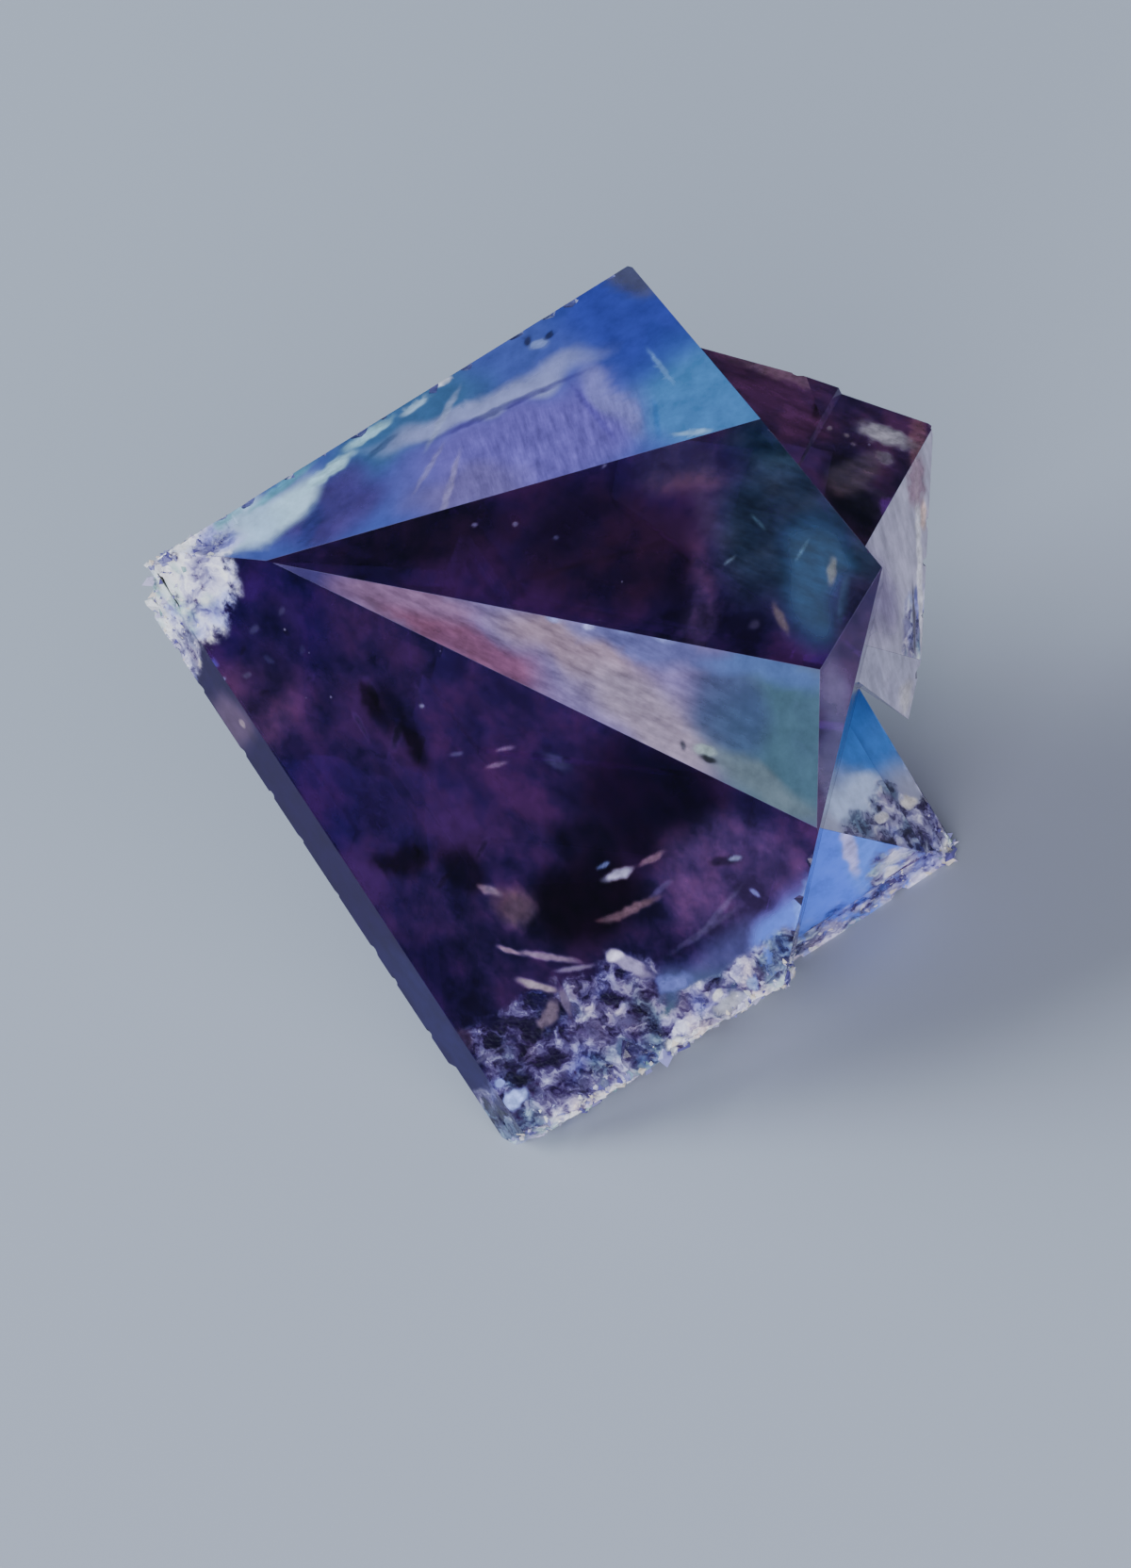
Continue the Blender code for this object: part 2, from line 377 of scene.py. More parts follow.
def piece_from(name, mesh, material):
    """A finished piece of the crystal from a bmesh in world metres."""
    data = bpy.data.meshes.new(name)
    mesh.to_mesh(data)
    mesh.free()
    data.materials.append(material)
    piece = bpy.data.objects.new(name, data)
    bpy.context.scene.collection.objects.link(piece)
    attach(piece, BODY)
    return piece


# ----------------------------
# Crumbs

CRUMB_COLOURS = ("#FFFFFF", "#F6ECDC", "#D0CCEA", "#A0A0D8", "#6A64A8", "#90B4B4")
CRUMB_SHARES = (4, 3, 5, 4, 3, 1)
# Crumbs grow where the surface is crushed at least this much.
CRUMBS_FROM = 0.35
# Lowest and highest size, stretch along three axes, depth in the surface, reach and brightness of corners.
CRUMB_SIZES = (0.25, 1.0)
CRUMB_STRETCHES = ((0.7, 1.5), (0.6, 1.0), (0.5, 0.9))
CRUMB_SUNK = (0.35, 0.75)
CRUMB_UNEVEN = (0.75, 1.25)
CRUMB_SHADES = (0.85, 1.0)


def crumb_spots(count, rng):
    """Random places on the broken surface of the finished crystal: point, normal and how large crumbs get."""
    data = bpy.data.objects["clear_crystal"].data
    share = data.attributes["crushed"].data
    faces, weights = [], []
    for face in data.polygons:
        strength = min(share[index].vector[0] for index in face.vertices)
        if strength > CRUMBS_FROM:
            faces.append((face.center.copy(), face.normal.copy(), strength))
            weights.append(face.area * strength * strength)
    return rng.choices(faces, weights, k=count)


def octahedron():
    """Corners and faces of one octahedron of radius 1."""
    shape = bmesh.new()
    bmesh.ops.create_uvsphere(shape, u_segments=4, v_segments=2, radius=1.0)
    corners = [corner.co.copy() for corner in shape.verts]
    faces = [[corner.index for corner in face.verts] for face in shape.faces]
    shape.free()
    return corners, faces


def crumb(mesh, tint, template, point, normal, radius, rng):
    """One stretched octahedron, sunk half into the surface, with uneven corners."""
    turn = Matrix.Rotation(rng.uniform(0, math.tau), 3, "Z")
    turn = turn @ Matrix.Rotation(rng.uniform(0, math.tau), 3, "X")
    stretch = Matrix.Diagonal([rng.uniform(*span) for span in CRUMB_STRETCHES])
    centre = point - normal * radius * rng.uniform(*CRUMB_SUNK)
    shade = Vector(linear(rng.choices(CRUMB_COLOURS, CRUMB_SHARES)[0]))
    lowest, highest = CAD_BOX
    corners, faces = template
    made = []
    for corner in corners:
        place = centre + turn @ stretch @ corner * radius * rng.uniform(*CRUMB_UNEVEN)
        kept_in = [min(max(value, low), high) for value, low, high in zip(place, lowest, highest)]
        made.append(mesh.verts.new(kept_in))
        made[-1][tint] = shade * rng.uniform(*CRUMB_SHADES)
    for face in faces:
        mesh.faces.new([made[number] for number in face])


# ----------------------------
# Colour zones. Each face has a ground colour and soft patches; a few patches are painted highlights and
# glints, marked where they stand. The number after a colour is its milkiness: the share of light that it
# scatters instead of letting it through.

GROUNDS = {
    "upper": ("#5468C4", 0.55),
    "middle": ("#502878", 0.12),
    "wedge": ("#887AAC", 0.58),
    "lower": ("#5A3688", 0.12),
    "narrow": ("#5C4878", 0.26),
    "left bevel": ("#180A3C", 1.0),
    "right wall": ("#483C78", 0.25),
    "upper break": ("#5C5C98", 0.2),
    "corner upper": ("#B8BCD8", 0.74),
    "corner lower": ("#6488F0", 0.9),
    "second front": ("#74447C", 0.28),
    "second top": ("#704680", 0.18),
    "second right": ("#C0BCD0", 0.75),
    "second side": ("#B8B8CC", 0.75),
}

# face: centre u, v, half length, half width, turn in degrees, colour, milkiness, strength.
PATCHES = {
    "upper": (
        (-4.8, 9.3, 3.81, 1.29, 32, "#4478A8", 0.56, 0.9),
        (-7.35, 6.48, 2.7, 1.38, 22, "#5C50A0", 0.42, 1),
        (-0.9, 8.28, 5.7, 2.55, 20, "#7468C4", 0.64, 1),
        (4.89, 9.78, 3.81, 3, -52, "#4C8CCC", 0.64, 1),
        (2.4, 12.78, 3.39, 2.79, 0, "#384CB4", 0.56, 1),
        (2.49, 13.98, 1.2, 0.81, 0, "#5A6078", 0.5, 0.9),
        (-2.7, 6.99, 2.61, 0.9, 16, "#8478B4", 0.55, 0.7),
        (-2.25, 9.84, 4.8, 0.54, 24, "#A0A8DC", 0.68, 0.9),
        (1.8, 9.78, 1.98, 0.54, -52, "#8C8CD4", 0.66, 0.85),
        (-1.5, 9.72, 3.45, 0.14, 24, "#453A90", 0.5, 0.6),
        (1.14, 9.48, 1.56, 0.14, -52, "#5A4CB0", 0.5, 0.45),
        (-3.6, 9.33, 1.44, 0.15, 62, "#A8B4DC", 0.7, 0.6),
        (-3.36, 7.08, 1.5, 0.15, 75, "#A89CD0", 0.7, 0.6),
        (-4.05, 7.68, 1.2, 0.12, 60, "#9C94CC", 0.7, 0.5),
        (-8.7, 6.48, 2.1, 0.84, 42, "#B0D4E8", 0.88, 1),
        (-10.05, 5.88, 1.8, 1.08, 30, "#A4C4E0", 0.92, 1),
        (-11.4, 5.13, 2.1, 0.9, 33, "#B4C4E4", 0.9, 1),
        (-7.2, 7.68, 1.26, 0.27, 38, "#B0E0EC", 0.88, 0.9),
        (-8.7, 7.23, 1.8, 0.21, 38, "#5CB0C0", 0.7, 0.7),
        (-10.5, 6.24, 0.9, 0.3, 45, "#70B8C8", 0.75, 0.7),
        # painted glint: a pale blue highlight streak on the upper face
        (-6, 8.82, 1.2, 0.21, 33, "#A8DCE8", 0.85, 0.8),
        (-4.5, 9.72, 0.66, 0.15, 35, "#B4D4EC", 0.85, 0.7),
        (-3.6, 10.53, 0.42, 0.15, 28, "#F4F4FF", 0.95, 0.9),
        (-5.55, 8.43, 0.9, 0.15, 40, "#2C4C78", 0.5, 0.6),
        (-7.8, 5.88, 0.42, 1.2, -20, "#3C4C9C", 0.45, 0.6),
        (-0.54, 11.7, 0.45, 0.21, 15, "#8CA0D4", 0.8, 0.7),
        (-0.9, 11.82, 0.18, 0.27, -10, "#2C3058", 0.5, 0.8),
        (-0.21, 12, 0.36, 0.12, 40, "#20244C", 0.5, 0.8),
        (3.3, 10.89, 0.9, 0.12, -55, "#7CB0E8", 0.8, 0.5),
        (4.29, 8.73, 0.81, 0.12, 5, "#A4CCEC", 0.85, 0.6),
        (3.15, 9.18, 0.15, 0.9, 8, "#2C6CB8", 0.65, 0.5),
    ),
    "middle": (
        (-4.2, 5.49, 3.99, 1.41, 10, "#34204C", 0.09, 0.8),
        (1.5, 5.19, 4.8, 2.61, -15, "#40244A", 0.1, 0.9),
        (8.01, 5.79, 4.59, 4.41, 0, "#2C3A54", 0.38, 1),
        (7.2, 8.58, 2.4, 1.41, 0, "#2C4C64", 0.22, 0.8),
        (3.9, 7.59, 1.71, 1.2, 0, "#7A607C", 0.2, 0.8),
        (4.5, 6.21, 0.9, 0.51, -50, "#4C4068", 0.2, 0.7),
        (8.16, 4.02, 1.68, 2.52, 0, "#183C5C", 0.78, 0.95),
        (4.29, 3.3, 0.66, 2.79, 5, "#744C80", 0.25, 0.8),
        (6.96, 2.85, 0.18, 0.66, 25, "#94807C", 0.6, 0.55),
        (8.55, 4.32, 0.18, 0.54, -8, "#90948C", 0.55, 0.6),
        (8.91, 3.39, 0.18, 0.9, -8, "#6C98BC", 0.5, 0.6),
        (6.15, 2.64, 0.27, 0.24, 40, "#80708C", 0.5, 0.45),
        (9.6, 2.61, 1.2, 2.19, 20, "#50406C", 0.18, 0.9),
        (-2.1, 7.08, 0.15, 0.12, 0, "#8C84A8", 0.5, 0.8),
        (-1.26, 5.88, 0.12, 0.12, 0, "#7C74A0", 0.5, 0.8),
        (1.5, 7.68, 0.15, 0.09, 30, "#8078A0", 0.5, 0.8),
        (-2.55, 5.88, 0.12, 0.09, 0, "#746C98", 0.5, 0.8),
        (0, 5.43, 0.12, 0.12, 0, "#6C6490", 0.5, 0.7),
        (5.4, 4.68, 0.3, 0.07, 40, "#7C90A8", 0.5, 0.6),
        (6.3, 5.88, 0.42, 0.07, -50, "#5C8098", 0.5, 0.6),
        (7.65, 4.98, 0.48, 0.07, 60, "#6890A8", 0.5, 0.6),
    ),
    "wedge": (
        (-6.99, 4.2, 3, 0.99, -12, "#544888", 0.46, 1),
        (-4.59, 3.51, 3.21, 1.11, -15, "#906C90", 0.56, 1),
        (-2.7, 1.98, 3.75, 0.84, -27, "#84506C", 0.54, 0.9),
        (0.6, 1.92, 3.3, 1.02, -22, "#A08898", 0.6, 1),
        (3, -0.3, 3.6, 1.41, -35, "#A494A8", 0.62, 1),
        (7.2, -0.99, 3.21, 3.99, 0, "#507282", 0.56, 1),
        (5.4, -0.09, 1.29, 2.4, 30, "#50648C", 0.46, 0.8),
        (6.3, -2.31, 2.61, 0.6, -32, "#74848C", 0.58, 0.8),
        (3.3, 2.01, 4.41, 0.6, -13, "#6C70AC", 0.56, 0.9),
        (6.6, 1.2, 2.79, 0.6, -8, "#5C78B4", 0.56, 0.9),
        (4.65, -1.23, 0.48, 0.21, -12, "#98ACA8", 0.75, 0.8),
        (4.74, -1.5, 0.39, 0.15, -20, "#182028", 0.5, 0.9),
        (3.96, -1.08, 0.12, 0.21, 20, "#30404C", 0.5, 0.7),
        (-0.09, 2.88, 0.36, 0.18, -10, "#8C94D0", 0.7, 0.8),
        (1.02, 2.64, 0.27, 0.15, -10, "#A4A8E0", 0.75, 0.8),
        (2.1, 2.52, 0.42, 0.15, -15, "#7C88CC", 0.7, 0.8),
        (3.36, 2.22, 0.48, 0.18, -12, "#8890D0", 0.7, 0.7),
        (-1.35, 3.48, 0.36, 0.12, -14, "#8C84C0", 0.65, 0.7),
        (-2.7, 3.72, 0.42, 0.12, -10, "#7C74B0", 0.6, 0.7),
    ),
    "lower": (
        (-9, 2.79, 2.79, 3, 0, "#44188C", 0.13, 1),
        (-9.6, 0.21, 2.01, 2.4, -30, "#7C4C80", 0.27, 0.85),
        (-0.99, -1.29, 5.01, 3, -30, "#60347C", 0.13, 0.8),
        (3.21, -3, 3.6, 2.61, -30, "#280848", 0.09, 1),
        (0.99, -6, 2.61, 2.01, 30, "#1C0430", 0.12, 1),
        (-4.5, -9, 2.4, 2.4, -50, "#441C78", 0.12, 0.8),
        (-7.8, -3.12, 2.1, 2.7, 0, "#4C2484", 0.13, 0.8),
        (-9.15, 1.98, 1.8, 2.85, -12, "#2C1A54", 0.26, 0.8),
        (-9.6, 2.64, 0.24, 0.15, 30, "#5C5484", 0.5, 0.6),
        (-8.7, 3.18, 0.21, 0.12, 60, "#5C5484", 0.5, 0.5),
        (-9.12, 1.68, 0.27, 0.12, -30, "#4C4478", 0.5, 0.6),
        (-9.84, 1.2, 0.18, 0.12, 20, "#60587C", 0.5, 0.6),
        (-8.04, 1.98, 0.18, 0.12, 80, "#4C4478", 0.5, 0.5),
        (-9.3, 0.63, 0.24, 0.12, 10, "#0E0820", 0.5, 0.7),
        (-9.96, 1.98, 0.27, 0.12, 60, "#0E0820", 0.5, 0.7),
        (-8.55, 2.52, 0.24, 0.12, -40, "#0E0820", 0.5, 0.7),
        (-7.8, 1.08, 0.21, 0.12, 30, "#0E0820", 0.5, 0.6),
        (-5.34, 0.03, 0.78, 1.5, 10, "#180A34", 0.16, 0.8),
        (-5.76, 0.54, 0.18, 0.78, 25, "#060210", 0.5, 0.8),
        (-4.95, -0.57, 0.21, 0.9, -20, "#060210", 0.5, 0.8),
        (-6.18, -0.42, 0.12, 0.66, 30, "#0C0618", 0.5, 0.6),
        (-4.32, 0.42, 0.12, 0.6, 15, "#0C0618", 0.5, 0.6),
        (-10.95, -2.28, 0.24, 0.36, 0, "#0C0618", 0.4, 0.7),
        (-4.5, -1.02, 0.6, 1.02, 20, "#140A24", 0.1, 0.9),
        (-5.85, 0.33, 0.36, 0.9, 30, "#120A22", 0.12, 0.8),
        (-4.95, -4.74, 1.32, 0.57, 10, "#10060F", 0.12, 0.9),
        (-3.06, -4.83, 1.02, 1.2, 20, "#180A34", 0.12, 0.9),
        (0.9, -4.2, 1.5, 1.05, -20, "#1C0A38", 0.08, 0.65),
        (-3.6, -5.37, 0.48, 0.21, 50, "#0C0414", 0.4, 0.8),
        (-2.34, -4.32, 0.54, 0.15, 60, "#0C0414", 0.4, 0.7),
        (-1.2, -6.06, 0.96, 0.78, -15, "#805E74", 0.36, 1),
        (-1.86, -5.82, 0.66, 0.66, 0, "#684860", 0.34, 0.7),
        (-2.1, -5.64, 0.48, 0.21, -20, "#A488A0", 0.45, 0.8),
        (5.7, -5.22, 3.3, 2.7, 0, "#7C5494", 0.28, 0.85),
        (5.55, -7.92, 3.3, 1.38, 30, "#6468A4", 0.5, 0.75),
        (4.35, -9.12, 2.4, 1.26, 28, "#54648C", 0.5, 0.8),
        (4.65, -6.87, 1.8, 0.15, 35, "#7C6C98", 0.4, 0.5),
        (5.1, -6.27, 1.5, 0.12, 50, "#8474A4", 0.4, 0.5),
        # painted glints: a blue-violet spot and two pale lines where light catches the left end
        (-11.04, 1.2, 0.24, 0.6, -15, "#5C5CD8", 0.8, 0.9),
        (-10.74, 1.02, 0.27, 0.09, 15, "#B0B4F0", 0.9, 0.9),
        (-11.28, 0.69, 0.24, 0.09, 10, "#9CA0E8", 0.9, 0.8),
        (1.95, -5.13, 0.66, 0.21, 22, "#C0B8DC", 0.75, 0.9),
        (3, -4.62, 0.6, 0.15, 30, "#A07890", 0.55, 0.8),
        (1.5, -4.83, 0.3, 0.12, 30, "#8C98D8", 0.6, 0.7),
        (2.46, -6.18, 1.2, 0.21, 27, "#8C6878", 0.5, 0.9),
        (1.8, -6.48, 0.66, 0.15, 10, "#785868", 0.45, 0.8),
        (3.3, -5.55, 0.6, 0.12, 38, "#6C5C90", 0.45, 0.7),
        (-0.3, -7.74, 1.38, 0.15, -8, "#AC90AC", 0.65, 0.8),
        (-1.5, -7.56, 0.54, 0.12, -20, "#B894AC", 0.65, 0.8),
        (0.6, -8.1, 0.84, 0.12, 10, "#A898B8", 0.6, 0.7),
        (2.34, -7.98, 1.05, 0.36, -28, "#C0B4DC", 0.85, 0.75),
        (1.86, -7.68, 0.36, 0.27, 10, "#F0E8FF", 0.95, 0.8),
        (3.69, -8.52, 0.84, 0.39, 12, "#7078C8", 0.75, 0.8),
        (-0.6, -8.67, 0.9, 0.18, -15, "#BCA8B0", 0.7, 0.85),
        (-0.21, -9.6, 0.36, 0.9, -28, "#B8A0A4", 0.7, 0.6),
        (0.3, -9.18, 0.21, 0.72, 20, "#94849C", 0.6, 0.7),
        (1.56, -9.66, 1.2, 1.5, 20, "#9088BC", 0.7, 0.7),
        (3.3, -9.87, 1.14, 1.2, 0, "#4C6C80", 0.5, 0.8),
        (3.87, -10.5, 0.54, 0.42, 10, "#FFFFFF", 0.95, 1),
        (3.66, -10.86, 0.27, 0.18, 60, "#90A0A8", 0.8, 0.9),
        (2.55, -11.37, 0.6, 0.27, 40, "#9CC0D0", 0.85, 0.9),
        (2.1, -10.62, 0.3, 0.48, 0, "#506C90", 0.6, 0.7),
        (5.55, -9.12, 1.02, 0.39, 33, "#C4C4CC", 0.85, 0.8),
        (5.1, -8.88, 0.36, 0.24, 60, "#E8E4E0", 0.95, 0.8),
        (6.15, -8.52, 0.27, 0.36, 0, "#B4C4D4", 0.85, 0.8),
        (7.14, -7.32, 1.38, 2.4, -20, "#5878E0", 0.85, 0.95),
        (7.74, -6.12, 0.36, 1.2, -12, "#7CA0FF", 0.9, 0.7),
        (-1.29, -12.3, 0.6, 0.48, 30, "#A8BCFF", 0.95, 1),
        (-1.8, -11.82, 0.3, 0.24, 0, "#8C9CE0", 0.8, 0.9),
        (-0.81, -13.47, 1.02, 0.24, 25, "#ECEAF4", 0.95, 0.9),
        (-2.25, -10.98, 1.56, 0.1, 33, "#8880A8", 0.5, 0.7),
        (-3.3, -10.32, 1.2, 0.09, 28, "#6C6494", 0.4, 0.6),
        (1.5, -11.82, 0.42, 0.36, 40, "#8890B8", 0.7, 0.8),
        (5.25, -4.68, 0.66, 0.24, 8, "#141030", 0.4, 0.8),
        (5.58, -4.59, 0.27, 0.1, 10, "#9CA0D0", 0.7, 0.9),
        (6.21, -5.67, 0.27, 0.1, -35, "#8088D8", 0.7, 0.8),
        (-1.86, -1.68, 0.48, 0.1, 15, "#94789C", 0.5, 0.7),
        (0, -1.59, 0.69, 0.27, -30, "#7C74A0", 0.36, 0.6),
        (-3, -10.59, 0.99, 0.69, 0, "#744C6C", 0.26, 0.8),
        (-7.41, -4.71, 0.42, 6.3, 33, "#40388C", 0.22, 0.7),
        (-4.23, 0.18, 0.12, 0.07, 0, "#9C98C0", 0.7, 0.7),
        (-3.12, -1.32, 0.3, 0.09, 10, "#7C78A4", 0.5, 0.6),
        (-1.59, -1.17, 0.42, 0.09, 10, "#94789C", 0.55, 0.7),
    ),
    "left bevel": (
        (-3.6, -10.02, 4.5, 0.66, -56, "#201C4C", 1, 0.8),
        (-10.62, -0.36, 1.02, 1.08, -56, "#54405C", 1, 0.9),
        (-10.02, -0.36, 0.18, 0.09, -56, "#A890A0", 1, 0.8),
    ),
    "narrow": (
        (8.6, -1, 0.5, 4, 0, "#787098", 0.42, 0.9),
    ),
    "corner upper": (
        (9.81, -0.81, 1.89, 2.49, 0, "#3C80D4", 0.88, 1),
        (9.39, -2.79, 1.29, 0.99, 0, "#C8DCFF", 0.95, 1),
        (11.31, -1.2, 0.42, 3, 30, "#564A66", 0.35, 1),
        (11.25, -2.88, 0.42, 0.3, 0, "#EEE6DC", 0.95, 0.9),
        (10.35, -3.36, 0.36, 0.24, 20, "#E8E4E8", 0.95, 0.9),
    ),
    "corner lower": (
        (9.39, -4.92, 2.85, 3.3, 0, "#5C84FF", 0.95, 1),
        (10.05, -4.77, 0.99, 2.1, 10, "#78ACF4", 0.95, 0.3),
        (9.3, -4.32, 0.3, 1.2, 15, "#D4CCFF", 0.95, 0.8),
        (10.65, -5.07, 0.48, 0.24, 30, "#F0ECE8", 0.95, 0.9),
        (10.05, -3.72, 0.6, 0.15, -20, "#E4DCF4", 0.95, 0.8),
    ),
    "second top": (
        (9.3, 6.93, 0.78, 1.8, 20, "#241E44", 0.1, 1),
        (10.05, 6.48, 1.2, 0.42, -20, "#504860", 0.4, 0.6),
        (9.84, 7.08, 1.5, 0.18, -22, "#6C6078", 0.45, 0.5),
        (9.3, 7.98, 1.5, 0.15, -22, "#3C2440", 0.3, 0.7),
        (10.44, 8.1, 0.42, 0.3, -20, "#948C98", 0.6, 0.8),
        (11.55, 8.28, 0.42, 1.8, 0, "#A06C7C", 0.5, 0.8),
        (8.7, 9.03, 0.12, 0.12, 0, "#9C8C98", 0.6, 0.8),
        (9.24, 8.82, 0.15, 0.09, -30, "#9C8C98", 0.6, 0.8),
        (9.45, 8.52, 0.12, 0.09, -30, "#8C7C90", 0.6, 0.8),
        (10.5, 8.82, 1.26, 0.42, -20, "#C8C4CC", 0.7, 0.9),
        (9.6, 7.6, 1.2, 0.8, 30, "#8C7888", 0.36, 0.8),
        # painted highlight: a peach line along the right edge
        (11.64, 7.68, 0.15, 0.9, 5, "#D8A8A0", 0.8, 0.8),
    ),
    "second front": (
        (8, 10.6, 3.4, 0.35, -17, "#A07C94", 0.4, 0.8),
        (8.8, 8.9, 0.5, 0.2, -20, "#C8B0B8", 0.6, 0.8),
        (8.5, 9.9, 0.3, 0.9, -28, "#2C1428", 0.3, 0.9),
    ),
    "second side": (
        (11.16, 0.48, 0.3, 0.78, -10, "#D0CCC8", 0.85, 0.7),
    ),
    "second right": (
        # The white line along the right edge and the peach and pink spots near its top are painted
        # highlights.
        (11.58, 4.68, 0.12, 4.5, 2, "#F0EEF4", 0.9, 0.9),
        (11.4, 2.88, 0.07, 1.8, 2, "#4C445C", 0.6, 0.8),
        (11.7, 6.33, 0.15, 0.66, 0, "#F4D4C4", 0.9, 0.9),
        (11.46, 7.38, 0.42, 1.2, 0, "#A87C90", 0.6, 0.8),
        (9.4, 3.8, 1.8, 2.2, 30, "#A094B4", 0.45, 0.8),
    ),
}

# Where the crystal is broken through: face, then centre, half size, turn, and how much paler than the rest.
FRACTURES = {
    "upper": ((-11.9, 4.7, 2.8, 1.5, 33, 1.5),),
    "lower": (
        (-0.4, -12.4, 6.4, 2, 33, 0.2),
        (5.6, -8.9, 5.6, 1.3, 33, 0.7),
        (1.5, -9, 2.8, 1.5, 12, 0.22),
        (-0.8, -10.6, 2.6, 2.2, 30, -0.2),
        (-11.8, 3.4, 3.2, 1.8, 56, 1.8),
    ),
    "corner upper": ((11, -3.6, 2.4, 1.7, 0, 0.5),),
    "corner lower": ((11.4, -5, 1.8, 1.5, 0, 0.8), (7.6, -8, 3.4, 0.9, 33, 1)),
    "left bevel": ((-12.6, 1.8, 1.8, 1.8, 0, 1), (-2.2, -13.2, 1.6, 1.6, 0, 0.3)),
    "second right": ((11.7, 2.2, 1, 2.2, 0, 0.9),),
}

# Areas with a fine texture of their own: streaks of fast growth, scales along the long edge, or specks.
TEXTURES = {
    "streaks": {
        "upper": ((-0.2, 8.3, 4.8, 2.2, 20),),
        "second right": ((11, 4, 3, 9, 0),),
        "second side": ((10.6, 1, 3, 5, 0),),
    },
    "scales": {
        "wedge": ((-1, 2, 9.5, 3.2, -25),),
        "second top": ((9.6, 8.4, 6, 6, -20),),
        "second front": ((8, 10.5, 6, 4, -20),),
        "middle": ((8, 5.8, 4.6, 4.4, 0),),
    },
    "specks": {
        "middle": ((-1, 5.6, 9, 4, 15),),
        "lower": ((-6, -1, 8, 8, 0),),
        "second front": ((8, 10, 4, 3, 0),),
        "second top": ((10, 7, 4, 5, 0),),
    },
}

# How softly a patch fades out, as a share of its size. A small patch is one thinner than this, in mm.
PATCH_SOFTNESS = 0.55
SMALL_PATCH = 0.5
SMALL_SOFTNESS = 0.6
BROKEN_SHARE = 0.4
CHIP_PALENESS = 0.3
CHIP_DARKNESS = 0.35
CHIP_MILK = 0.9
BREAK_MILK = 0.45
BREAK_PALENESS = 0.2
# Size and reach, in mm, of the noise that bends the outlines of patches.
STIR_SIZE = 1.6
STIR_REACH = 0.5
SMALL_STIR_SIZE = 0.3
SMALL_STIR_REACH = 0.35


def smooth(value):
    value = min(1.0, max(0.0, value))
    return value * value * (3 - 2 * value)


def within(place, u, v, length, width, turn, softness=PATCH_SOFTNESS):
    """One in the middle of a soft ellipse and nothing at its outline. The place is a complex number."""
    away = (place - complex(u, v)) * cmath.rect(1, -math.radians(turn))
    return smooth((1 - math.hypot(away.real / length, away.imag / width)) / softness)


def small_patches(name):
    return [patch for patch in PATCHES.get(name, ()) if min(patch[2:4]) < SMALL_PATCH]


def stirred(place, size, reach):
    """A place in the front frame, as a complex number in mm, shifted by noise so that outlines wander."""
    stir = noise.noise_vector(place / size) * reach
    return complex(place.x + stir.x, place.y + stir.y)


def painted_corner(name, point):
    """What a named face shows at a world point: colour with milkiness, how broken it is, and its textures."""
    place = (TO_FRONT @ point) / MM
    bent = stirred(place, STIR_SIZE, STIR_REACH)
    covered = 0.0
    ground, milk = GROUNDS[name]
    colour = Vector((*linear(ground, False), milk))
    for *ellipse, shade, milk, strength in PATCHES.get(name, ()):
        smaller = min(ellipse[2:4])
        if smaller < SMALL_PATCH:
            small = stirred(place, SMALL_STIR_SIZE, SMALL_STIR_REACH * smaller)
            share = strength * within(small, *ellipse, SMALL_SOFTNESS)
            covered = max(covered, share)
        else:
            share = strength * within(bent, *ellipse)
        if share > 0:
            colour = colour.lerp(Vector((*linear(shade, False), milk)), share)
    broken = max(((within(bent, *area), pale) for *area, pale in FRACTURES.get(name, ())), default=(0.0, 0.0))
    textures = [
        max((within(bent, *area) for area in faces.get(name, ())), default=0.0) for faces in TEXTURES.values()
    ]
    return colour, (broken[0] * (1 - covered), broken[1], covered, 1.0), (*textures, 1.0)


def paint(mesh, code, crushed, look):
    """Gives each corner of each face its colour zone, broken share and texture areas."""
    layers = [mesh.loops.layers.float_color.new(name) for name in ("zone_colour", "broken", "textures")]
    names = {number: name for name, number in FACE_CODES.items()}
    clean = (0.0, 0.0, 0.0, 1.0)
    plain = {
        BACK_CODE: ((*look.body, look.body_milk), clean, clean),
        # Worn strips beside front faces: pale worn colour and a painted edge highlight.
        WORN_HIGHLIGHT_EDGE_CODE: ((*look.worn_edge_and_highlight, BREAK_MILK), clean, clean),
        BROKEN_CODE: ((*look.broken, BREAK_MILK), (BROKEN_SHARE, BREAK_PALENESS, 0.0, 1.0), clean),
    }
    chips = {}
    mesh.faces.index_update()
    for index, number in chip_neighbours(mesh, code).items():
        ground, milk = GROUNDS[names[number]]
        if number in PALE_EDGED:
            shade = Vector((*linear(ground, False), milk)).lerp(Vector(plain[BROKEN_CODE][0]), CHIP_PALENESS)
            plain[CHIP_CODE + number] = (shade, plain[BROKEN_CODE][1], clean)
        else:
            shade = Vector(linear(ground, False)) * CHIP_DARKNESS
            plain[CHIP_CODE + number] = ((*shade, CHIP_MILK), clean, clean)
        chips[index] = CHIP_CODE + number
    known = {}
    for face in mesh.faces:
        number = chips.get(face.index, round(face[code]))
        for loop in face.loops:
            key = (number, loop.vert.index)
            if key not in known:
                known[key] = painted_corner(names[number], loop.vert.co) if number in names else plain[number]
            colour, broken, textures = known[key]
            strength = loop.vert[crushed].x * (1 - broken[2])
            if strength > 0:
                pale = broken[1] + (loop.vert[crushed].y - broken[1]) * strength
                broken = (max(strength, broken[0]), pale, broken[2], 1.0)
            for layer, value in zip(layers, (colour, broken, textures)):
                loop[layer] = value


# ----------------------------
# Materials

# Sockets of the Mix node, by number because they share their names.
SHARE, VALUE_A, VALUE_B, COLOUR_A, COLOUR_B = 0, 2, 3, 6, 7
MIXED = 2

FLUORITE_IOR = 1.434
FROSTED_ROUGHNESS = 0.85
GRAIN_DEPTH = 0.06
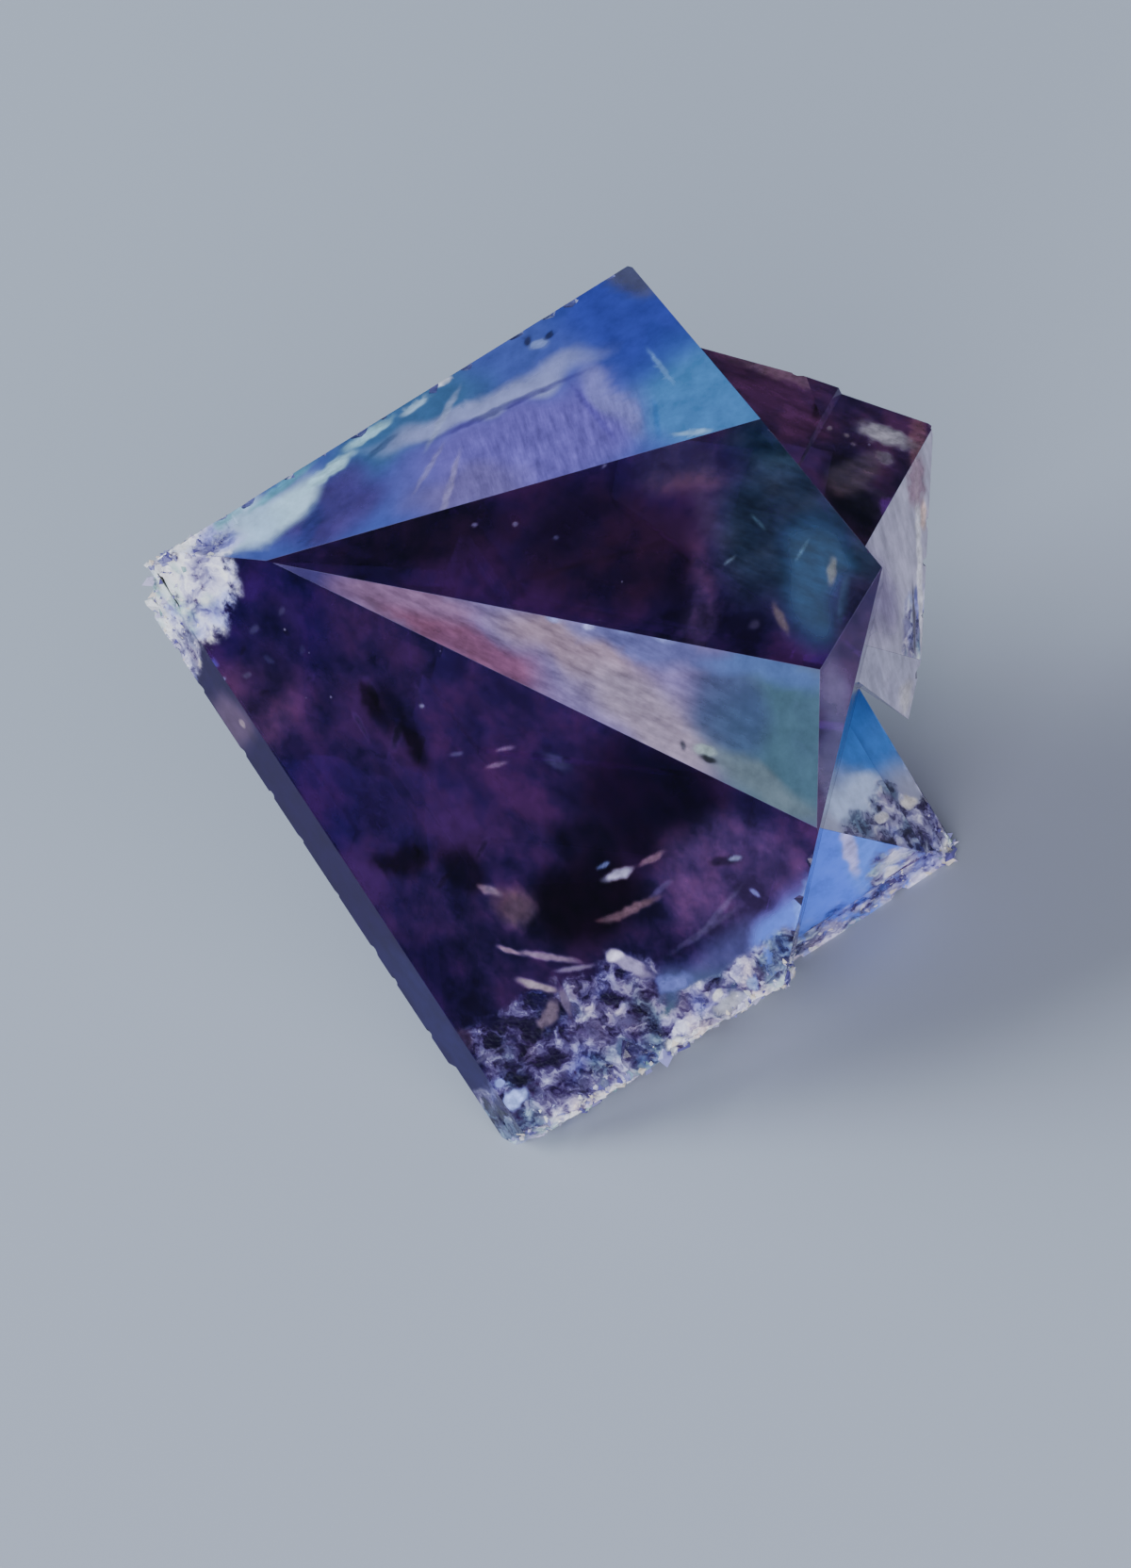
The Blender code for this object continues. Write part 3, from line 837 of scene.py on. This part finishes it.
# Which way fine marks run, in degrees, and how far they are stretched along, across and into the crystal.
STREAK_TURN = -73
STREAK_STRETCH = (3.0, 0.22, 1.0)
SCALE_TURN = -24
SCALE_STRETCH = (1.8, 0.35, 1.0)
FLAKE_TURN = 30
FLAKE_STRETCH = (2.6, 0.5, 0.6)
CLEAVED_STRETCH = (2.0, 0.5, 0.6)
FLECK_STRETCH = (0.7, 0.25, 0.25)
FACET_CONTRAST = 0.05
PALENESS_LIFT = 0.24
# Broken crystal, from its darkest to its palest, and the tints it takes by turns.
CRUSHED_RAMP = (
    (0.34, "#2A1450"),
    (0.45, "#482E74"),
    (0.56, "#6C6094"),
    (0.68, "#9C98C0"),
    (0.80, "#D8D6EC"),
    (0.92, "#FFFFFF"),
)
CRUSHED_TINTS = ("#B0D0CC", "#BCC4F8", "#F4E6E0")


def add(tree, kind, inputs=None, **settings):
    """Adds one node. Inputs are set by name or number, to a value or to the output that feeds them."""
    made = tree.nodes.new(kind)
    for name, value in settings.items():
        setattr(made, name, value)
    for socket, value in (inputs or {}).items():
        if isinstance(value, bpy.types.NodeSocket):
            tree.links.new(value, made.inputs[socket])
        else:
            made.inputs[socket].default_value = value
    return made


def new_material(name):
    material = bpy.data.materials.new(name)
    material.use_nodes = True
    tree = material.node_tree
    tree.nodes.clear()
    return material, tree


def front_millimetres(tree):
    """Object coordinates turned into the crystal's front frame, in millimetres."""
    turn = TO_FRONT.to_3x3()
    shift = TO_FRONT.translation / MM
    place = add(tree, "ShaderNodeTexCoord").outputs["Object"]
    return add(
        tree, "ShaderNodeMapping",
        {"Vector": place, "Location": shift, "Rotation": turn.to_euler(), "Scale": [1 / MM] * 3},
    ).outputs["Vector"]


def crushed_crystal(tree, place, paleness):
    """Colour and milkiness of broken crystal: flakes from dark purple to white, in several tints."""
    stir = add(tree, "ShaderNodeTexNoise", {"Vector": place, "Scale": 1.6, "Detail": 3.0}).outputs["Color"]
    bent = add(tree, "ShaderNodeVectorMath", {0: stir, "Scale": 0.9}, operation="SCALE").outputs[0]
    bent = add(tree, "ShaderNodeVectorMath", {0: place, 1: bent}).outputs[0]
    flakes = long_noise(tree, bent, FLAKE_TURN, FLAKE_STRETCH, 3.0)
    cleaved = drawn_out(tree, bent, FLAKE_TURN, CLEAVED_STRETCH)
    facets = add(tree, "ShaderNodeTexVoronoi", {"Vector": cleaved, "Scale": 1.0}).outputs["Color"]
    facets = add(tree, "ShaderNodeSeparateColor", {0: facets}).outputs[0]
    facets = add(
        tree, "ShaderNodeMapRange", {"Value": facets, "To Min": -FACET_CONTRAST, "To Max": FACET_CONTRAST}
    ).outputs[0]
    flakes = add(tree, "ShaderNodeMath", {0: flakes, 1: facets}, operation="ADD").outputs[0]
    level = add(
        tree, "ShaderNodeMath", {0: paleness, 1: PALENESS_LIFT, 2: flakes}, operation="MULTIPLY_ADD"
    ).outputs[0]
    ramp = add(tree, "ShaderNodeValToRGB", {0: level})
    while len(ramp.color_ramp.elements) < len(CRUSHED_RAMP):
        ramp.color_ramp.elements.new(0.5)
    for element, (where, colour) in zip(ramp.color_ramp.elements, CRUSHED_RAMP):
        element.position = where
        element.color = linear(colour)
    hue = add(tree, "ShaderNodeTexNoise", {"Vector": place, "Scale": 0.5, "Detail": 3.0}).outputs["Color"]
    parts = add(tree, "ShaderNodeSeparateColor", {0: hue})
    colour = ramp.outputs["Color"]
    for number, tint in enumerate(CRUSHED_TINTS):
        share = add(
            tree, "ShaderNodeMapRange", {"Value": parts.outputs[number], "From Min": 0.52, "From Max": 0.64}
        ).outputs[0]
        colour = add(
            tree, "ShaderNodeMix", {SHARE: share, COLOUR_A: colour, COLOUR_B: linear(tint)},
            data_type="RGBA", blend_type="MULTIPLY",
        ).outputs[MIXED]
    milk = add(
        tree, "ShaderNodeMapRange",
        {"Value": level, "From Min": 0.42, "From Max": 0.70, "To Min": 0.2, "To Max": 0.95},
    )
    return colour, milk.outputs[0]


def drawn_out(tree, place, turn, stretch):
    """Front millimetres stretched along one direction."""
    return add(
        tree, "ShaderNodeMapping",
        {"Vector": place, "Rotation": (0, 0, math.radians(turn)), "Scale": stretch},
        vector_type="TEXTURE",
    ).outputs[0]


def long_noise(tree, place, turn, stretch, detail):
    """Noise drawn out along one direction of the front frame, between 0 and 1."""
    along = drawn_out(tree, place, turn, stretch)
    return add(
        tree, "ShaderNodeTexNoise", {"Vector": along, "Scale": 1.0, "Detail": detail, "Roughness": 0.65}
    ).outputs["Fac"]


def textured(tree, place, colour, textures):
    """Lays streaks and scales over the zone colours, each where its area says."""
    for area, turn, stretch, low, high in (
        (textures.outputs[0], STREAK_TURN, STREAK_STRETCH, 0.72, 1.3),
        (textures.outputs[1], SCALE_TURN, SCALE_STRETCH, 0.6, 1.4),
    ):
        lines = long_noise(tree, place, turn, stretch, 4.0)
        shade = add(
            tree, "ShaderNodeMapRange",
            {"Value": lines, "From Min": 0.32, "From Max": 0.68, "To Min": low, "To Max": high},
        ).outputs[0]
        shade = add(tree, "ShaderNodeMix", {SHARE: area, VALUE_A: 1.0, VALUE_B: shade}).outputs[0]
        colour = add(tree, "ShaderNodeVectorMath", {0: colour, "Scale": shade}, operation="SCALE").outputs[0]
    return colour


def fluorite(look):
    """Fluorite as grown: glassy flat faces over a body colour that changes in zones, from purple to blue."""
    material, tree = new_material("fluorite, zoned, natural faces")
    place = front_millimetres(tree)
    zone = add(tree, "ShaderNodeAttribute", attribute_name="zone_colour")
    broken = add(tree, "ShaderNodeAttribute", attribute_name="broken").outputs["Color"]
    broken = add(tree, "ShaderNodeSeparateColor", {0: broken})
    textures = add(tree, "ShaderNodeAttribute", attribute_name="textures").outputs["Color"]
    textures = add(tree, "ShaderNodeSeparateColor", {0: textures})

    mottle = add(
        tree, "ShaderNodeTexNoise", {"Vector": place, "Scale": 1.3, "Detail": 6.0, "Roughness": 0.65}
    ).outputs["Fac"]
    shade = add(
        tree, "ShaderNodeMapRange",
        {"Value": mottle, "From Min": 0.3, "From Max": 0.7, "To Min": 0.78, "To Max": 1.22},
    ).outputs[0]
    colour = add(
        tree, "ShaderNodeVectorMath", {0: zone.outputs["Color"], "Scale": shade}, operation="SCALE"
    ).outputs[0]
    colour = textured(tree, place, colour, textures)
    flecks = long_noise(tree, place, FLAKE_TURN, FLECK_STRETCH, 5.0)
    shade = add(
        tree, "ShaderNodeMapRange",
        {"Value": flecks, "From Min": 0.35, "From Max": 0.65, "To Min": 0.6, "To Max": 1.25},
    ).outputs[0]
    shade = add(tree, "ShaderNodeMix", {SHARE: broken.outputs[2], VALUE_A: 1.0, VALUE_B: shade}).outputs[0]
    colour = add(tree, "ShaderNodeVectorMath", {0: colour, "Scale": shade}, operation="SCALE").outputs[0]

    clouds = add(
        tree, "ShaderNodeTexNoise", {"Vector": place, "Scale": 0.45, "Detail": 6.0, "Roughness": 0.62}
    ).outputs["Fac"]
    clear_share = add(
        tree, "ShaderNodeMapRange",
        {"Value": zone.outputs["Alpha"], "From Min": 0.18, "From Max": 0.5, "To Min": 1.0, "To Max": 0.0},
    ).outputs[0]
    warm = add(tree, "ShaderNodeMapRange", {"Value": clouds, "From Min": 0.42, "From Max": 0.58}).outputs[0]
    tone = add(
        tree, "ShaderNodeMix", {SHARE: warm, COLOUR_A: linear("#C4D8F4"), COLOUR_B: linear("#F8DCDC")},
        data_type="RGBA",
    ).outputs[MIXED]
    colour = add(
        tree, "ShaderNodeMix", {SHARE: clear_share, COLOUR_A: colour, COLOUR_B: tone},
        data_type="RGBA", blend_type="MULTIPLY",
    ).outputs[MIXED]
    haze = add(
        tree, "ShaderNodeMapRange",
        {"Value": clouds, "From Min": 0.38, "From Max": 0.62, "To Min": 0.5, "To Max": 2.4},
    ).outputs[0]
    haze = add(tree, "ShaderNodeMix", {SHARE: clear_share, VALUE_A: 1.0, VALUE_B: haze}).outputs[0]
    haze = add(tree, "ShaderNodeMath", {0: haze, 1: zone.outputs["Alpha"]}, operation="MULTIPLY").outputs[0]

    specks = add(tree, "ShaderNodeTexVoronoi", {"Vector": place, "Scale": 1.4})
    few = add(tree, "ShaderNodeSeparateColor", {0: specks.outputs["Color"]}).outputs[0]
    size = add(
        tree, "ShaderNodeMapRange", {"Value": few, "From Min": 0.7, "From Max": 1.0, "To Max": 0.09}
    ).outputs[0]
    dot = add(
        tree, "ShaderNodeMath", {0: specks.outputs["Distance"], 1: size}, operation="LESS_THAN"
    ).outputs[0]
    dot = add(tree, "ShaderNodeMath", {0: dot, 1: textures.outputs[2]}, operation="MULTIPLY").outputs[0]
    dot = add(tree, "ShaderNodeMath", {0: dot, 1: 0.6}, operation="MULTIPLY").outputs[0]
    colour = add(
        tree, "ShaderNodeMix", {SHARE: dot, COLOUR_A: colour, COLOUR_B: linear("#9488B0")}, data_type="RGBA"
    ).outputs[MIXED]
    milk = add(tree, "ShaderNodeMix", {SHARE: dot, VALUE_A: haze, VALUE_B: 0.6}).outputs[0]

    ragged = add(
        tree, "ShaderNodeMapRange",
        {"Value": mottle, "From Min": 0.3, "From Max": 0.7, "To Min": 0.3, "To Max": 2.2},
    ).outputs[0]
    edge = add(tree, "ShaderNodeMath", {0: broken.outputs[0], 1: ragged}, operation="MULTIPLY").outputs[0]
    share = add(
        tree, "ShaderNodeMapRange", {"Value": edge, "From Min": 0.25, "From Max": 1.1},
        interpolation_type="SMOOTHSTEP",
    ).outputs[0]
    crushed_colour, crushed_milk = crushed_crystal(tree, place, broken.outputs[1])
    colour = add(
        tree, "ShaderNodeMix", {SHARE: share, COLOUR_A: colour, COLOUR_B: crushed_colour}, data_type="RGBA"
    ).outputs[MIXED]
    milk = add(tree, "ShaderNodeMix", {SHARE: share, VALUE_A: milk, VALUE_B: crushed_milk}).outputs[0]
    clear = add(tree, "ShaderNodeMath", {0: 1.0, 1: milk}, operation="SUBTRACT").outputs[0]
    frost = add(tree, "ShaderNodeMath", {0: milk, 1: 3.0}, operation="POWER").outputs[0]
    frost = add(
        tree, "ShaderNodeMapRange", {"Value": frost, "To Min": look.gloss, "To Max": FROSTED_ROUGHNESS}
    ).outputs[0]
    grain = add(tree, "ShaderNodeTexNoise", {"Vector": place, "Scale": 5.0, "Detail": 3.0, "Roughness": 0.6})
    depth = add(tree, "ShaderNodeMapRange", {"Value": share, "To Max": 0.4}).outputs[0]
    bump = add(
        tree, "ShaderNodeBump",
        {"Height": grain.outputs["Fac"], "Strength": depth, "Distance": GRAIN_DEPTH * MM},
    )
    surface = add(
        tree, "ShaderNodeBsdfPrincipled",
        {
            "Base Color": colour, "Roughness": frost, "IOR": FLUORITE_IOR, "Transmission Weight": clear,
            "Normal": bump.outputs[0],
        },
    )
    inside = add(
        tree, "ShaderNodeVolumeAbsorption", {"Color": (*look.absorbed, 1.0), "Density": look.absorption}
    )
    add(tree, "ShaderNodeOutputMaterial", {"Surface": surface.outputs[0], "Volume": inside.outputs[0]})
    return material


def crushed_fluorite():
    """Crushed fluorite: small clean cleavage faces, frosted inside, so that they glint white and lavender."""
    material, tree = new_material("fluorite, crushed, sugary")
    shade = add(tree, "ShaderNodeAttribute", attribute_name="crumb_colour").outputs["Color"]
    surface = add(
        tree, "ShaderNodeBsdfPrincipled",
        {"Base Color": shade, "Roughness": 0.18, "IOR": FLUORITE_IOR, "Transmission Weight": 0.25},
    )
    add(tree, "ShaderNodeOutputMaterial", {"Surface": surface.outputs[0]})
    return material


def set_stage_light(name, place, power, colour):
    """A round soft light that shines on the crystal."""
    data = bpy.data.lights.new(name, "AREA")
    data.shape = "DISK"
    data.size = LIGHT_SIZE
    data.energy = power
    data.color = linear(colour, False)
    light = bpy.data.objects.new(name, data)
    light.location = place
    light.rotation_euler = (Vector(AIM) - Vector(place)).to_track_quat("-Z", "Y").to_euler()
    bpy.context.scene.collection.objects.link(light)


# ----------------------------
# Operators

# The stage, in metres. The camera's place is in the front frame, in millimetres.
FLOOR_RADIUS = 2.5
ROOM_STRENGTH = 0.24
AIM = (0, 0, 0.01)
LIGHT_SIZE = 0.5
KEY_PLACE = (-0.26, 0.22, 0.27)
FILL_PLACE = (-0.04, -0.40, 0.16)
CAMERA_PLACE = Vector((0.3, -2.28, 400))
SENSOR = 36
LENS = 288.5


class FLUORITE_OT_crystal(Operator):
    """Clear crystal with worn edges and crushed ends, in place of the plain solid"""

    bl_idname = "fluorite.crystal"
    bl_label = "Crystal"

    def execute(self, context):
        shape = context.scene.fluorite_shape
        look = context.scene.fluorite_look
        noise.seed_set(shape.seed)
        mesh = merged_copy()
        code = mesh.faces.layers.float.new("face_code")
        crushed = mesh.verts.layers.float_vector.new("crushed")
        for face in mesh.faces:
            face[code] = face_code(face)
        code_risers(mesh, code)
        wear_edges(mesh, code, shape.edge_wear)
        grid_faces(mesh, code)
        refine_small_patches(mesh, code)
        for name, end in CRUSHED_ENDS.items():
            crush_end(mesh, crushed, end, END_PALENESS[name], shape.crush_depth)
        mesh.verts.index_update()
        paint(mesh, code, crushed, look)
        piece = piece_from("clear_crystal", mesh, fluorite(look))
        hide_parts(CRYSTAL_NODE)
        return {"FINISHED"}


class FLUORITE_OT_crumbs(Operator):
    """Small cleavage octahedra, whole and broken, grown into the crushed ends"""

    bl_idname = "fluorite.crumbs"
    bl_label = "Crumbs"

    def execute(self, context):
        shape = context.scene.fluorite_shape
        rng = random.Random(shape.seed)
        mesh = bmesh.new()
        tint = mesh.verts.layers.float_color.new("crumb_colour")
        template = octahedron()
        for point, normal, richness in crumb_spots(shape.crumbs, rng):
            radius = shape.crumb_size * richness * rng.uniform(*CRUMB_SIZES)
            crumb(mesh, tint, template, point, normal, radius, rng)
        piece_from("rim_crumbs", mesh, crushed_fluorite())
        return {"FINISHED"}


class FLUORITE_OT_stage(Operator):
    """Plain pale floor, soft studio lights and the camera"""

    bl_idname = "fluorite.stage"
    bl_label = "Stage"

    def execute(self, context):
        stage = context.scene.fluorite_stage
        sheet = bmesh.new()
        bmesh.ops.create_circle(sheet, cap_ends=True, segments=96, radius=FLOOR_RADIUS)
        data = bpy.data.meshes.new("floor")
        sheet.to_mesh(data)
        sheet.free()
        floor = bpy.data.objects.new("floor", data)
        context.scene.collection.objects.link(floor)
        material, tree = new_material("matt paper, pale grey")
        surface = add(tree, "ShaderNodeBsdfPrincipled", {"Base Color": (*stage.floor, 1.0), "Roughness": 0.9})
        add(tree, "ShaderNodeOutputMaterial", {"Surface": surface.outputs[0]})
        data.materials.append(material)

        world = bpy.data.worlds.new("soft room")
        context.scene.world = world
        world.use_nodes = True
        world.node_tree.nodes["Background"].inputs["Color"].default_value = linear("#B9C6D2")
        world.node_tree.nodes["Background"].inputs["Strength"].default_value = ROOM_STRENGTH

        set_stage_light("key", KEY_PLACE, stage.key_power, "#EAF4FF")
        set_stage_light("fill", FILL_PLACE, stage.fill_power, "#F4F2FF")

        data = bpy.data.cameras.new("camera")
        data.sensor_fit = "VERTICAL"
        data.sensor_height = SENSOR
        data.lens = LENS
        camera = bpy.data.objects.new("camera", data)
        context.scene.collection.objects.link(camera)
        camera.matrix_world = TO_WORLD @ Matrix.Translation(CAMERA_PLACE * MM)
        context.scene.camera = camera
        return {"FINISHED"}


class FLUORITE_PT_panel(Panel):
    bl_idname = "FLUORITE_PT_panel"
    bl_label = "Fluorite"
    bl_space_type = "VIEW_3D"
    bl_region_type = "UI"
    bl_category = "Fluorite"

    def draw(self, context):
        for operator in OPERATORS:
            self.layout.operator(operator.bl_idname)


OPERATORS = (FLUORITE_OT_crystal, FLUORITE_OT_crumbs, FLUORITE_OT_stage)
CLASSES = (FluoriteShape, FluoriteLook, FluoriteStage, *OPERATORS, FLUORITE_PT_panel)


def register():
    for cls in CLASSES:
        bpy.utils.register_class(cls)
    bpy.types.Scene.fluorite_shape = PointerProperty(type=FluoriteShape)
    bpy.types.Scene.fluorite_look = PointerProperty(type=FluoriteLook)
    bpy.types.Scene.fluorite_stage = PointerProperty(type=FluoriteStage)


def unregister():
    del bpy.types.Scene.fluorite_stage
    del bpy.types.Scene.fluorite_look
    del bpy.types.Scene.fluorite_shape
    for cls in reversed(CLASSES):
        bpy.utils.unregister_class(cls)


def main():
    register()
    bpy.ops.fluorite.stage()
    bpy.ops.fluorite.crystal()
    bpy.ops.fluorite.crumbs()


if __name__ == "__main__":
    main()
